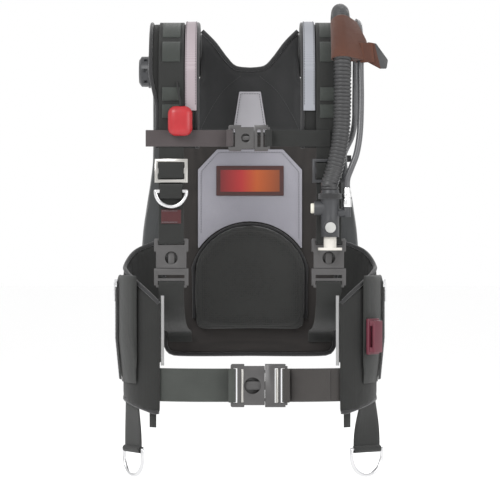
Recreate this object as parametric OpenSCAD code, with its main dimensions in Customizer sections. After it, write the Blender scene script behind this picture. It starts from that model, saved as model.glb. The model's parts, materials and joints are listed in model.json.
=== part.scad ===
// Back-inflation buoyancy compensator vest. Millimetres, +Z up.
// Origin: centre of the tank band, on the cylinder's axis. The wearer faces -Y.
// "left" is the wearer's left, +X; "right" is the wearer's right, -X.

/* [Tank fixing] */
// Outer diameter of the cylinder that the band holds
tank_d = 184; // [180:1:186]
// Width of the tank band webbing
band_w = 50; // [40:1:52]
// Thickness of the tank band webbing
band_t = 2.5; // [2:0.5:3]

/* [Back] */
// Half width of the back panel at the waist
panel_half_w = 136.5; // [132:0.5:137]
// Height of the back panel's lower edge
panel_bottom_z = -264; // [-270:1:-258]
// Height where the back panel ends and the yoke collar begins
yoke_z = 85; // [83:1:87]
// Height of the lowest point of the neck opening
neck_z = 187; // [180:1:190]
// Half width of the lumbar pad
lumbar_half_w = 90; // [84:1:91]
// Half width of the badge panel
badge_half_w = 82; // [78:1:84]

/* [Shoulders] */
// Height of the middle of the shoulder arch
arch_z = 169; // [166:1:171]
// Inner radius of the shoulder arch
arch_r = 70; // [68:1:71]
// Thickness of the shoulder pads
pad_t = 14; // [10:1:14]
// Distance of the shoulder webbing's middle from the centre line
strap_x = 119; // [118:1:120]
// Width of the shoulder webbing
strap_w = 38; // [36:1:38]
// Height of the sternum strap
sternum_z = 71; // [70:1:73]

/* [Waist] */
// Inner radius of the waist wings, seen from above
wing_r = 90; // [88:1:90]
// Thickness of the waist wings
wing_t = 8; // [6:1:8]
// Height of the middle of the waist strap
belt_z = -300; // [-302:1:-298]
// Width of the waist strap, hip straps and their rings
belt_w = 50; // [48:1:50]

/* [Hardware] */
// Wire diameter of the D-rings
ring_wire = 6; // [5:0.5:6]
// Outer diameter of the corrugated hose
hose_d = 27; // [25:1:27]
// Outer diameter of the low-pressure hose
lp_d = 9.5; // [8.5:0.5:9.5]

/* [Hidden] */
$fn = 48;

fabric_black = "#26282a";
webbing_black = "#1c1d1f";
plastic_black = "#2a2b2d";
trim_grey = "#8d8c92";
steel = "#b9bbbd";

tank_r = tank_d / 2;
band_r = tank_r + band_t;
run = 0.05;              // radial running clearance of a pin in its hole
gap = 0.3;               // clearance between parts of different bodies
web_t = 2.5;             // webbing thickness
web_thin = 2;            // thin webbing thickness

panel_back_y = -108;     // rear face of the back panel, front face of the cradle
panel_y = -120;          // front face of the back panel
collar_y = -122;         // front face of the yoke collar
arch_out = arch_r + pad_t;
arch_y = panel_back_y - arch_out;          // axis of the shoulder arches
pad_y = arch_y - arch_out;                 // front face of the shoulder pads
pad_x0 = 78;
pad_x1 = 152;
pad_end_z = 55;
web_y = pad_y - web_t;                     // front face of the shoulder webbing
inlay_x1 = strap_x - strap_w / 2 - 2;
socket_z = -125;         // mouth of the shoulder buckles

wing_cx = 98;            // axis of the waist wing's curve
wing_cy = -210;
wing_back_a = 66;        // from the +X direction
wing_front_a = -68;
wing_out = wing_r + wing_t;
belt_r = wing_r - web_t;                   // inner radius of the strap inside the wing
belt_mid = belt_r + web_t / 2;
belt_x = wing_cx + belt_mid * cos(wing_front_a);
belt_y = wing_cy + belt_mid * sin(wing_front_a);
flat_x = 62;             // the strap is flat across the front as far as this
front_a = 90 + wing_front_a;               // slope of the strap where it leaves the wing
front_r = (belt_x - flat_x) / sin(front_a);
front_y = belt_y - front_r * (1 - cos(front_a));   // middle of the flat strap
buckle_x = 22;           // where the two halves of the waist buckle meet
pocket_t = 10;
pocket_r = wing_out + pocket_t;

hose_r = hose_d / 2;
lp_r = lp_d / 2;
hose_arch = arch_out + web_t + hose_r + 0.6;         // radius of the hoses over the shoulder
hose_x = 139;
lp_x = 167;
lp_arch = hose_arch - 12.6;                           // the low-pressure hose lies lower
inflator_x = 120;
inflator_y = -303;
inflator_top = -8;

function arc(cx, cy, r, a0, a1, n = 10) =
    [for (i = [0:n]) [cx + r * cos(a0 + (a1 - a0) * i / n), cy + r * sin(a0 + (a1 - a0) * i / n)]];
function reversed(p) = [for (i = [len(p) - 1:-1:0]) p[i]];
function both_sides(half) = concat(half, [for (p = reversed(half)) [-p[0], p[1]]]);
function unit(v) = v / norm(v);

// One point of the smooth curve through p, at a share t of the way from p[i] to p[i + 1].
function curve_at(p, i, t) =
    let (a = p[max(i - 1, 0)], b = p[i], c = p[i + 1], d = p[min(i + 2, len(p) - 1)])
    0.5 * (2 * b + (c - a) * t + (2 * a - 5 * b + 4 * c - d) * t * t
        + (3 * b - a - 3 * c + d) * t * t * t);
function curve(p, n) = concat(
    [for (i = [0:len(p) - 2], k = [0:n - 1]) curve_at(p, i, k / n)], [p[len(p) - 1]]);
function ring_section(r, n) = [for (k = [0:n - 1]) r * [cos(360 * k / n), sin(360 * k / n)]];
function strap_section(w, t) = [[w / 2, -t / 2], [w / 2, t / 2], [-w / 2, t / 2], [-w / 2, -t / 2]];
function over_shoulder(x, angles, r = hose_arch) =
    [for (a = angles) [x, arch_y + r * cos(a), arch_z + r * sin(a)]];

// Sweeps a section along a path that never runs along X. The section's first axis stays near X.
module sweep(path, section) {
    n = len(section);
    last = len(path) - 1;
    points = [for (i = [0:last])
        let (t = unit(path[min(i + 1, last)] - path[max(i - 1, 0)]),
             w = unit([1, 0, 0] - t[0] * t),
             up = cross(t, w))
        for (s = section) path[i] + s[0] * w + s[1] * up];
    sides = [for (i = [0:last - 1], k = [0:n - 1])
        [i * n + k, (i + 1) * n + k, (i + 1) * n + (k + 1) % n, i * n + (k + 1) % n]];
    ends = [[for (k = [0:n - 1]) k], [for (k = [n - 1:-1:0]) last * n + k]];
    polyhedron(points = points, faces = concat(sides, ends), convexity = 6);
}

module side(s) {
    if (s < 0) mirror([1, 0, 0]) children();
    else children();
}

// An outline in X and Z, filled from y0 forward to y1.
module slab(outline, y_front, y_rear) {
    translate([0, y_rear, 0]) rotate([90, 0, 0]) linear_extrude(y_rear - y_front) polygon(outline);
}

// A profile in Y and Z, filled from x0 to x1.
module across(x0, x1) {
    translate([x0, 0, 0]) rotate([90, 0, 90]) linear_extrude(x1 - x0) children();
}

module block(x, y, z) {
    translate([x[0], y[0], z[0]]) cube([x[1] - x[0], y[1] - y[0], z[1] - z[0]]);
}

// A curved wall seen from above: radii r0 to r1, angles a0 to a1, heights z0 to z1.
module wall(r0, r1, a0, a1, z0, z1) {
    translate([0, 0, z0]) rotate([0, 0, a0])
        rotate_extrude(angle = a1 - a0, $fn = 96)
            translate([r0, 0]) square([r1 - r0, z1 - z0]);
}

// D-ring hanging from a straight bar along X; origin at the middle of the bar.
module d_ring(inner_w, leg) {
    r = (inner_w + ring_wire) / 2;
    translate([0, 0, -leg]) rotate([-90, 0, 0])
        rotate_extrude(angle = 180) translate([r, 0]) circle(d = ring_wire);
    rotate([0, 90, 0]) cylinder(d = ring_wire, h = 2 * r, center = true);
    for (s = [-1, 1]) translate([s * r, 0, 0]) {
        sphere(d = ring_wire);
        if (leg > 0) translate([0, 0, -leg]) cylinder(d = ring_wire, h = leg);
    }
}

/* Side-release buckle, in local axes: X across the webbing, Y through it, plug leaves to -Z.
   The mouth lies at z = 0. */
function buckle_w(w) = w + 14;
function buckle_t(w) = 0.1 * w + 8;
function buckle_h(w) = 0.5 * w + 26;
function buckle_foot(w) = 0.4 * w + 14;
function tongue_h(w) = 0.45 * w + 10;

module buckle_socket(w) {
    bw = buckle_w(w);
    bt = buckle_t(w);
    bh = buckle_h(w);
    cavity = tongue_h(w) + 2;
    difference() {
        union() {
            block([-bw / 2 + 3, bw / 2 - 3], [-bt / 2, bt / 2], [0, bh]);
            block([-bw / 2, bw / 2], [-bt / 2, bt / 2], [cavity - 4, bh - 3]);
            for (s = [-1, 1]) translate([s * (bw / 2 - 3), 0, bh - 3]) rotate([90, 0, 0])
                cylinder(r = 3, h = bt, center = true);
        }
        block([-bw, bw], [-bt / 2 + 2, bt / 2 - 2], [-1, cavity - 4]);
        block([-bw / 2 + 5, bw / 2 - 5], [-bt / 2 + 2, bt / 2 - 2], [-1, cavity]);
        block([-w / 2 - 1, w / 2 + 1], [-bt, bt], [bh - 10, bh - 4]);
        translate([0, 0, cavity / 2 + 1]) rotate([90, 0, 0])
            cylinder(r = cavity / 2 - 5, h = bt);
    }
}

module buckle_plug(w) {
    bw = buckle_w(w);
    bt = buckle_t(w);
    th = tongue_h(w);
    foot = buckle_foot(w);
    arm_t = bt - 7;
    difference() {
        union() {
            block([-bw / 2, bw / 2], [-bt / 2, bt / 2], [-foot + 3, -0.5]);
            block([-bw / 2 + 3, bw / 2 - 3], [-bt / 2, bt / 2], [-foot, -0.5]);
        }
        block([-w / 2 - 1, w / 2 + 1], [-bt, bt], [-foot + 4, -foot + 10]);
        block([-w / 2 - 1, w / 2 + 1], [-bt, bt], [-foot + 14, -foot + 19]);
    }
    block([-w / 8, w / 8], [-1.5, 1.5], [-0.5, th]);
    for (s = [-1, 1]) side(s) {
        block([w / 2 - 6, w / 2 - 1.5], [-arm_t / 2, arm_t / 2], [-0.5, th - 2]);
        translate([w / 2 - 3, 0, th - 10]) rotate([90, 0, 0])
            linear_extrude(arm_t, center = true)
                polygon([[0, -8], [7, -4], [7, 0], [4, 7], [-2, 8]]);
    }
}

// Webbing folded round the bar at z0 to z1 and then leading away to +Z.
// The main layer lies on the side s of the bar, -1 in front and 1 behind.
module bar_loop(w, t, z0, z1, main_end, s) {
    half = buckle_t(w) / 2 + gap;
    low = z0 - gap - t;
    mirror([0, s < 0 ? 1 : 0, 0]) {
        block([-w / 2, w / 2], [half, half + t], [low, main_end]);
        block([-w / 2, w / 2], [-half - t, half + t], [low, low + t]);
        block([-w / 2, w / 2], [-half - t, -half], [low, z1 + 1]);
    }
}

// Distance from the middle of a buckle to the middle of its webbing.
function loop_y(w, t) = buckle_t(w) / 2 + gap + t / 2;

// The loop at a socket's bar, and the one at a plug's bar, which leads away to -Z.
module socket_loop(w, t, reach, s) {
    bar_loop(w, t, buckle_h(w) - 4, buckle_h(w), buckle_h(w) + reach, s);
}
module plug_loop(w, t, reach, s) {
    mirror([0, 0, 1]) bar_loop(w, t, buckle_foot(w) - 4, buckle_foot(w), buckle_foot(w) + reach, s);
}

// ---- Tank fixing ----

module tank_cradle() {
    color(plastic_black) difference() {
        slab(both_sides(concat([[0, -205]], arc(68, -195, 10, -90, 0, 5), arc(68, 60, 10, 0, 90, 5),
            [[0, 70]])), panel_back_y, -66);
        translate([0, 0, -210]) cylinder(r = band_r + 0.5, h = 300, $fn = 96);
        for (s = [-1, 1], z = [-185, 50]) translate([s * 45, 0, z]) rotate([90, 0, 0]) {
            translate([0, 0, 60]) cylinder(r = 6.5, h = 30);
            cylinder(r = 3.2, h = 120);
        }
        block([-27, 27], [-120, -60], [-132, -84]);
    }
}

module grip_pads() {
    color("#3a3a3a") {
        wall(tank_r, band_r + 0.3, -125, -55, -80, -40);
        wall(tank_r, band_r + 0.3, -125, -55, -175, -137);
    }
}

module tank_band() {
    color(webbing_black) difference() {
        cylinder(r = band_r, h = band_w, center = true, $fn = 96);
        cylinder(r = tank_r, h = band_w + 2, center = true, $fn = 96);
    }
}

cam_x = -16;
cam_y = band_r + 11.5;

module cam_frame() {
    color(plastic_black) difference() {
        union() {
            block([-30, 30], [80, band_r + 5.5], [-30, 30]);
            for (s = [-1, 1]) translate([0, 0, s * 28]) {
                block([cam_x - 7, cam_x + 7], [band_r + 5, cam_y], [-2, 2]);
                translate([cam_x, cam_y, 0]) cylinder(r = 7, h = 4, center = true);
            }
        }
        cylinder(r = band_r + 0.2, h = 70, center = true, $fn = 96);
        translate([cam_x, cam_y, 0]) cylinder(r = 3 + run, h = 70, center = true);
    }
}

module cam_lever() {
    color("#35373a") translate([cam_x, cam_y, 0]) {
        cylinder(r = 3, h = 59.6, center = true);
        cylinder(r = 5, h = 51, center = true);
        block([0, 54], [-3.5, 1.5], [-25, 25]);
        translate([54, 0.5, 0]) cylinder(r = 4, h = 50, center = true);
    }
}

module cradle_screws() {
    color(steel) for (s = [-1, 1], z = [-185, 50]) translate([s * 45, -90, z]) rotate([90, 0, 0]) {
        cylinder(r = 3, h = 26);
        translate([0, 0, -3.5]) difference() {
            cylinder(r = 6, h = 3.5);
            translate([0, 0, -1]) cylinder(r = 2.3, h = 3, $fn = 6);
        }
    }
}

// ---- Air cell, back panel and pads ----

lobe_top = 212;

module air_cell() {
    half = concat([[0, 150], [60, 158]], arc(138, lobe_top - 20, 20, 120, 0, 8),
        [[158, 40], [174, -60], [178, -120]], arc(138, -195, 40, 0, -90, 8),
        arc(112, -207, 28, -90, -180, 6), [[84, 75], [0, 75]]);
    color("#303335") difference() {
        slab(both_sides(half), panel_back_y, -68);
        translate([0, 0, -250]) cylinder(r = band_r + 3, h = 500, $fn = 96);
    }
}

module back_panel() {
    half = concat([[0, panel_bottom_z]],
        arc(panel_half_w - 22, panel_bottom_z + 22, 22, -90, 0, 6),
        [[panel_half_w, -120], [118, 0], [112, yoke_z], [0, yoke_z]]);
    color(fabric_black) difference() {
        slab(both_sides(half), panel_y, panel_back_y);
        for (s = [-1, 1], z = [-185, 50]) translate([s * 45, -105, z]) rotate([90, 0, 0])
            cylinder(r = 3.2, h = 12);
    }
}

module yoke_collar() {
    half = [[0, yoke_z], [112, yoke_z], [124, 122], [150, arch_z], [pad_x0 - 0.5, arch_z],
        [pad_x0 - 0.5, arch_z + 81], [57, 229], [39, 205], [24, neck_z + 3], [0, neck_z]];
    color(fabric_black) slab(both_sides(half), collar_y, panel_back_y);
}

dome_z = -150;
dome_r = 96;

module lumbar_pad() {
    a = acos(lumbar_half_w / dome_r);
    color("#222325") slab(concat(arc(0, dome_z, dome_r, a, 180 - a, 20),
        arc(18 - lumbar_half_w, -208, 18, 180, 270, 6),
        arc(lumbar_half_w - 18, -208, 18, 270, 360, 6)), panel_y - 22, panel_y);
}

module badge_panel() {
    r = dome_r + 1.5;
    a = acos((badge_half_w - 2) / r);
    low = dome_z + r * sin(a);
    half = concat([[0, 61], [52, 61], [badge_half_w, 29], [badge_half_w, low]],
        arc(0, dome_z, r, a, 90, 10));
    color(trim_grey) slab(both_sides(half), panel_y - 4, panel_y);
}

module badge_label() {
    color("#c8501e") slab([[-53, -12], [53, -12], [53, 35], [-53, 35]], panel_y - 6.5, panel_y - 4);
}

module neck_tab() {
    color(trim_grey) slab([[-27, 88], [27, 88], [17, 152], [-17, 152]], collar_y - 4, collar_y);
}

module grab_handle() {
    color(webbing_black) difference() {
        block([-62, 62], [panel_back_y, panel_back_y + 13], [163, 183]);
        block([-46, 46], [panel_back_y - 1, panel_back_y + 10], [160, 190]);
        for (s = [-1, 1])
            block(s > 0 ? [54, 70] : [-70, -54], [panel_back_y + 3, panel_back_y + 20], [160, 190]);
    }
}

// ---- Shoulders ----

module shoulder_pad() {
    color(fabric_black) across(pad_x0, pad_x1) {
        difference() {
            translate([arch_y, arch_z]) circle(r = arch_out, $fn = 96);
            translate([arch_y, arch_z]) circle(r = arch_r, $fn = 96);
            translate([arch_y - 200, arch_z - 200]) square([400, 200]);
        }
        translate([pad_y, pad_end_z]) square([pad_t, arch_z - pad_end_z]);
    }
}

// The front of the pad narrows towards the chest.
module tapered_pad() {
    difference() {
        shoulder_pad();
        slab([[pad_x1 + 1, arch_z - 2], [pad_x1, arch_z - 2], [pad_x1 - 10, 120],
            [pad_x1 - 10, pad_end_z - 1], [pad_x1 + 1, pad_end_z - 1]], pad_y - 1, pad_y + pad_t + 1);
    }
}

// Strip of thickness t lying on the shoulder pad, from over_a behind the front down to z_end.
module on_pad(x0, x1, t, over_a, z_end) {
    reach = 2 * arch_out;
    across(x0, x1) {
        intersection() {
            difference() {
                translate([arch_y, arch_z]) circle(r = arch_out + t, $fn = 96);
                translate([arch_y, arch_z]) circle(r = arch_out, $fn = 96);
            }
            polygon([[arch_y, arch_z], [arch_y - reach, arch_z],
                [arch_y - reach, arch_z + reach],
                [arch_y - reach * cos(over_a), arch_z + reach * sin(over_a)]]);
        }
        translate([pad_y - t, z_end]) square([t, arch_z - z_end]);
    }
}

module shoulder_inlays() {
    color(trim_grey) for (s = [-1, 1]) side(s)
        on_pad(pad_x0 + 2, inlay_x1, 2, 88, 112);
}

slider_z = 22;

ring_y = web_y - 5.5;
ring_z = -9;
shoulder_buckle_y = web_y + web_t / 2 + loop_y(strap_w, web_t);

module shoulder_webbing(with_ring) {
    x = [strap_x - strap_w / 2, strap_x + strap_w / 2];
    top = socket_z + buckle_h(strap_w);
    color(webbing_black) difference() {
        union() {
            on_pad(x[0], x[1], web_t, 75, top);
            translate([strap_x, shoulder_buckle_y, socket_z]) socket_loop(strap_w, web_t, 1, -1);
            // the layer that passes over the slider's middle bar
            for (z = [slider_z - 12, slider_z + 9]) block(x, [web_y - 5.5, web_y + 1], [z, z + 3]);
            block(x, [web_y - 6, web_y - 3.5], [slider_z - 12, slider_z + 12]);
            if (with_ring)
                block([x[0] + 2, x[1] - 2], [ring_y - 6, web_y + 1], [ring_z - 6, ring_z + 6]);
        }
        if (with_ring) translate([0, ring_y, ring_z]) rotate([0, 90, 0])
            cylinder(d = ring_wire + 0.2, h = 400, center = true);
    }
}

module strap_sliders() {
    color(steel) for (s = [-1, 1]) side(s) difference() {
        block([strap_x - strap_w / 2 - 6, strap_x + strap_w / 2 + 6], [web_y - 3, web_y],
            [slider_z - 18, slider_z + 18]);
        for (z = [slider_z - 13, slider_z + 4])
            block([strap_x - strap_w / 2 - 1, strap_x + strap_w / 2 + 1],
                [web_y - 4, web_y + 1], [z, z + 9]);
    }
}

module chest_ring() {
    color(steel) translate([-strap_x, ring_y, ring_z]) d_ring(strap_w + 2, 0);
}

module shoulder_sockets() {
    color(plastic_black) for (s = [-1, 1]) side(s)
        translate([strap_x, shoulder_buckle_y, socket_z]) buckle_socket(strap_w);
}

module shoulder_plug() {
    color("#323436") translate([strap_x, shoulder_buckle_y, socket_z]) buckle_plug(strap_w);
}

lower_y = web_y + web_t / 2;
lower_top = socket_z - buckle_foot(strap_w);
lower_route = [
    [strap_x, lower_y, lower_top - 2], [strap_x, lower_y, lower_top - 12],
    [118.5, -272, -184], [117, -246, -206], [114, -200, -219],
    [112, -156, -223], [111, -130, -227], [111, -121.5, -242]
];

module lower_strap() {
    color(webbing_black) {
        translate([strap_x, shoulder_buckle_y, socket_z]) plug_loop(strap_w, web_t, 3, -1);
        sweep(curve(lower_route, 3), strap_section(strap_w, web_t));
    }
}

// ---- Sternum strap ----

sternum_w = 25;
sternum_y = web_y - web_thin;              // front face of the sternum strap
sternum_mouth_x = 6;
sternum_buckle_y = sternum_y + web_thin / 2 - loop_y(sternum_w, web_thin);
sternum_span = [sternum_z - sternum_w / 2, sternum_z + sternum_w / 2];

// Turns a buckle so that its plug leaves to +X.
module buckle_facing_x(x, y, z) {
    translate([x, y, z]) rotate([0, -90, 0]) children();
}

module sternum_strap_right() {
    color("#55525a") {
        block([-158, sternum_mouth_x - buckle_h(sternum_w)], [sternum_y, web_y], sternum_span);
        buckle_facing_x(sternum_mouth_x, sternum_buckle_y, sternum_z)
            socket_loop(sternum_w, web_thin, 1, 1);
    }
}

module sternum_strap_left() {
    color(webbing_black) {
        block([sternum_mouth_x + buckle_foot(sternum_w), 122], [sternum_y, web_y], sternum_span);
        buckle_facing_x(sternum_mouth_x, sternum_buckle_y, sternum_z)
            plug_loop(sternum_w, web_thin, 1, 1);
    }
}

module sternum_socket() {
    color(plastic_black) buckle_facing_x(sternum_mouth_x, sternum_buckle_y, sternum_z)
        buckle_socket(sternum_w);
}

module sternum_plug() {
    color("#323436") buckle_facing_x(sternum_mouth_x, sternum_buckle_y, sternum_z)
        buckle_plug(sternum_w);
}

// ---- Dump valves ----

valve_z = 186;
valve_y = -88;
rear_valve = [-138, -68, -190];

module dump_valve() {
    difference() {
        union() {
            cylinder(r = 17, h = 4);
            cylinder(r = 26, h = 3);
            translate([0, 0, 3]) cylinder(r = 24, h = 11);
            translate([0, 0, 14]) cylinder(r1 = 24, r2 = 18, h = 4, $fn = 48);
        }
        for (a = [0:45:315]) rotate([0, 0, a]) translate([24, 0, 7]) cube([6, 5, 5], center = true);
        translate([0, 0, 15]) cylinder(r = 8, h = 4);
    }
}

module dump_valves() {
    color(plastic_black) {
        translate([-158, valve_y, valve_z]) rotate([0, -90, 0]) dump_valve();
        translate(rear_valve) rotate([-90, 0, 0]) difference() {
            dump_valve();
            translate([0, 0, 8]) rotate([0, 0, 90]) cylinder(r = 1.6, h = 20);
        }
    }
}

knob_pos = [-105, sternum_y - 11, 97];
cord_r = 1.5;
cord_route = [
    knob_pos + [0, 0, 2], knob_pos + [0, 0, 30], [-107, -287.5, 136], [-109, -283.6, 148],
    [-110, web_y - 1.6, 156]
];

module dump_cord() {
    color("#202020") sweep(curve(cord_route, 4), ring_section(cord_r, 8));
}

module dump_knob() {
    color("#c8202c") difference() {
        translate(knob_pos) hull() for (s = [-1, 1], z = [-11, 10])
            translate([s * 6.5, 0, z]) scale([1, 0.7, 1]) sphere(r = 12, $fn = 24);
        translate(knob_pos) cylinder(r = cord_r + 0.6, h = 30);
    }
}

module rear_dump_knob() {
    color("#2b2b2b") translate([rear_valve[0], rear_valve[1] + 8.5, rear_valve[2]]) {
        rotate([-90, 0, 0]) cylinder(r = 1.5, h = 24);
        translate([0, 26, 0]) sphere(r = 9);
    }
}

// ---- Inflator ----

port_pos = [131, -91, lobe_top];
hose_route = concat([port_pos + [0, 0, 3.1], port_pos + [0, 0, 6.1], port_pos + [0, 0, 9.5],
    port_pos + [0.8, -2, 18], [135, -101, 238]],
    over_shoulder(hose_x, [58:12:178]),
    [[hose_x, -294, 120], [136, -298, 70], [127.5, -302, 27], [inflator_x, inflator_y, 4],
        [inflator_x, inflator_y, -2], [inflator_x, inflator_y, inflator_top + 0.05]]);

module hose_port() {
    color(plastic_black) translate(port_pos) {
        difference() {
            union() {
                cylinder(r = 16, h = 3);
                cylinder(r = hose_r + 2.4, h = 12);
            }
            translate([0, 0, 3]) cylinder(r = hose_r + 1.1, h = 20);
        }
    }
}

module corrugated_hose() {
    color("#3b3b3d") sweep(curve(hose_route, 2), ring_section(hose_r, 12));
}

module over_arch(a0, a1) {
    translate([0, arch_y, arch_z]) rotate([0, 90, 0]) rotate([0, 0, 90 + a0])
        rotate_extrude(angle = a1 - a0, $fn = 96) children();
}

module elbow_cover() {
    low = arch_out + web_t + 0.3;
    color("#8a3c1c") difference() {
        over_arch(130, 168) difference() {
            polygon(concat(arc(hose_arch, hose_x, 17, -144, 40, 12), arc(lp_arch, lp_x + 1, 9, 40, 180, 8),
                [[lp_arch - 9, lp_x - 9], [low, lp_x - 14]]));
            translate([hose_arch, hose_x]) circle(r = hose_r + 0.6);
            translate([lp_arch, lp_x]) circle(r = lp_r + 0.6);
            translate([low - 40, 100]) square([40, 60]);
        }
        slab([[157, 270], [157, 259], [178, 216], [200, 216], [200, 270]], -330, -200);
    }
}

module hose_tab() {
    color("#1b1b1c") slab([[177.2, 216], [190, 214], [208, 189], [206, 176], [196, 176], [177.2, 186]], -284, -277);
}

module inflator_body() {
    color("#3a3c3f") difference() {
        union() {
            translate([inflator_x, inflator_y, inflator_top - 70]) cylinder(r = 13.5, h = 70);
            translate([inflator_x, inflator_y, inflator_top - 14]) cylinder(r = 15, h = 10);
            translate([inflator_x - 24, inflator_y, -35]) rotate([0, 90, 0]) cylinder(r = 10.5, h = 24);
            translate([inflator_x, inflator_y - 19, -64]) rotate([-90, 0, 0]) cylinder(r = 11, h = 19);
            translate([inflator_x, inflator_y, -42]) rotate([0, 90, 0]) cylinder(r = 6, h = 25);
            translate([inflator_x + 25, inflator_y, -48]) cylinder(r = 6, h = 14.95);
        }
        translate([inflator_x - 30, inflator_y, -35]) rotate([0, 90, 0]) cylinder(r = 7.5 + run, h = 18);
        translate([inflator_x, inflator_y - 30, -64]) rotate([-90, 0, 0])
            cylinder(r = 8 + run, h = 22.5);
        translate([inflator_x, inflator_y, inflator_top - 71]) cylinder(r = 7, h = 8);
    }
}

module hose_keepers() {
    color(webbing_black) {
        difference() {
            union() {
                translate([inflator_x, inflator_y, inflator_top - 13]) cylinder(r = 17.4, h = 8);
                block([inflator_x - 10, inflator_x + 10], [inflator_y, web_y],
                    [inflator_top - 13, inflator_top - 5]);
            }
            translate([inflator_x, inflator_y, inflator_top - 40]) cylinder(r = 15.1, h = 60);
        }
        // loop on the rear of the air cell
        difference() {
            block([138, 162], [-68, -45], [44, 54]);
            block([141, 159], [-65, -47], [40, 60]);
        }
    }
}

module inflate_button() {
    color("#d8d8d2") translate([inflator_x - 29, inflator_y, -35]) rotate([0, 90, 0])
        cylinder(r = 7.5, h = 12);
}

module deflate_button() {
    color("#9a9a96") translate([inflator_x, inflator_y - 24, -64]) rotate([-90, 0, 0])
        cylinder(r = 8, h = 12);
}

module mouthpiece() {
    color("#b8b4ac") translate([inflator_x, inflator_y, inflator_top - 70]) difference() {
        union() {
            translate([0, 0, -20]) cylinder(r = 9.5, h = 20);
            translate([0, 0, -2]) cylinder(r = 6.9, h = 9);
            translate([0, 0, -20]) linear_extrude(4) {
                square([18, 18], center = true);
                for (s = [-1, 1]) translate([s * 9, 0]) circle(r = 9);
            }
        }
        translate([0, 0, -21]) cylinder(r = 5, h = 40);
    }
}

qd_x = inflator_x + 25;
lp_route = concat(
    [[qd_x, inflator_y, -4], [qd_x + 1, inflator_y, 10], [152, -303, 26], [160, -301, 48],
        [165, -297, 80], [lp_x, -288, 125]],
    reversed(over_shoulder(lp_x, [0:15:180], lp_arch)),
    [[lp_x, -92, 136], [lp_x, -78, 108], [163, -62, 84], [153, -56, 62], [145, -54, 40], [140, -54, 16]]);

module lp_hose() {
    color("#2c2c2e") sweep(curve(lp_route, 2), ring_section(lp_r, 8));
}

module lp_fittings() {
    color(steel) {
        translate([qd_x, inflator_y, -33]) {
            cylinder(r = 7.2, h = 12);
            translate([0, 0, 12]) cylinder(r = 6.2, h = 3);
            translate([0, 0, 15]) cylinder(r = 7.2, h = 5);
            translate([0, 0, 20]) cylinder(r = 5.8, h = 8.8);
        }
        translate([140, -54, 15.5]) rotate([0, 10, 0]) {
            translate([0, 0, -10]) cylinder(r = 7, h = 9.5);
            translate([0, 0, -17]) cylinder(r = 8, h = 7, $fn = 6);
            translate([0, 0, -27]) cylinder(r = 4.76, h = 10);
        }
    }
}

// ---- Waist wings ----

wing_side = [[-100, -78], [-125, -82], [-160, -98], [-205, -120], [-240, -131], [-270, -146], [-290, -165], [-330, -200],
    [-330, -345], [-290, -342], [-250, -330], [-200, -322], [-150, -292], [-100, -262]];

// Cuts a curved wall to the wing's side outline.
module wing_cut(outline) {
    intersection() {
        translate([wing_cx, wing_cy, 0]) children();
        across(60, 240) polygon(outline);
    }
}

module wing() {
    color(fabric_black) wing_cut(wing_side)
        wall(wing_r, wing_out, wing_front_a, wing_back_a, -360, -70);
}

module pocket() {
    color("#2b2d30") translate([wing_cx, wing_cy, 0]) rotate([0, 0, -46])
        rotate_extrude(angle = 68, $fn = 96)
            polygon([[wing_out, -303], [wing_out + 3, -303], [pocket_r, -232], [pocket_r, -142],
                [pocket_r - 3, -132], [wing_out, -132]]);
}

zip_a = -14;
zip_top = -142;

module zip_pull() {
    color(steel) translate([wing_cx, wing_cy, zip_top]) rotate([0, 0, zip_a])
        translate([pocket_r + gap, 0, 0]) {
            block([0, 3], [-5, 5], [-12, 0]);
            block([3, 4.5], [-2.5, 2.5], [-34, -4]);
        }
}

handle_a = -38;

module ripcord_handle() {
    color("#7c1420") translate([wing_cx, wing_cy, -228]) rotate([0, 0, handle_a])
        translate([pocket_r + gap, 0, 0]) {
            block([0, 5], [-14, 14], [-27, 27]);
            for (z = [-24, 16]) block([5, 13], [-11, 11], [z, z + 8]);
            block([9, 13], [-11, 11], [-24, 24]);
        }
}

// Outline of a strap of thickness t along a plan route, on edge.
function normal_at(p, i) =
    let (d = unit(p[min(i + 1, len(p) - 1)] - p[max(i - 1, 0)])) [-d[1], d[0]];
function ribbon(p, t) = concat(
    [for (i = [0:len(p) - 1]) p[i] + normal_at(p, i) * t / 2],
    [for (i = [len(p) - 1:-1:0]) p[i] - normal_at(p, i) * t / 2]);

// One half of the waist strap: flat from x_end, round the front corner, then inside the wing.
function corner(r, a1) = arc(flat_x, front_y + front_r, r, -90, a1, 6);
module waist_half(x_end) {
    translate([0, 0, belt_z - belt_w / 2]) linear_extrude(belt_w)
        polygon(ribbon(concat([[x_end, front_y]], corner(front_r, -90 + front_a - 2),
            arc(wing_cx, wing_cy, belt_mid, wing_front_a, -42, 6)), web_t));
    translate([wing_cx, wing_cy, 0]) wall(belt_r - web_t, belt_r + 0.8, -60, -52, belt_z - 66, belt_z);
}

belt_buckle_y = front_y - loop_y(belt_w, web_t);

module waist_strap_left() {
    color(webbing_black) {
        waist_half(buckle_x + buckle_foot(belt_w));
        buckle_facing_x(buckle_x, belt_buckle_y, belt_z) plug_loop(belt_w, web_t, 1, 1);
        // free end of the strap, folded back along it
        translate([0, 0, belt_z - belt_w / 2]) linear_extrude(belt_w)
            polygon(ribbon(corner(front_r + web_t - 0.3, -72), web_t));
    }
}

module waist_strap_right() {
    color("#34383a") {
        side(-1) waist_half(buckle_h(belt_w) - buckle_x);
        buckle_facing_x(buckle_x, belt_buckle_y, belt_z) socket_loop(belt_w, web_t, 1, 1);
    }
}

module waist_socket() {
    color(plastic_black) buckle_facing_x(buckle_x, belt_buckle_y, belt_z) buckle_socket(belt_w);
}

module waist_plug() {
    color("#323436") buckle_facing_x(buckle_x, belt_buckle_y, belt_z) buckle_plug(belt_w);
}

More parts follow.
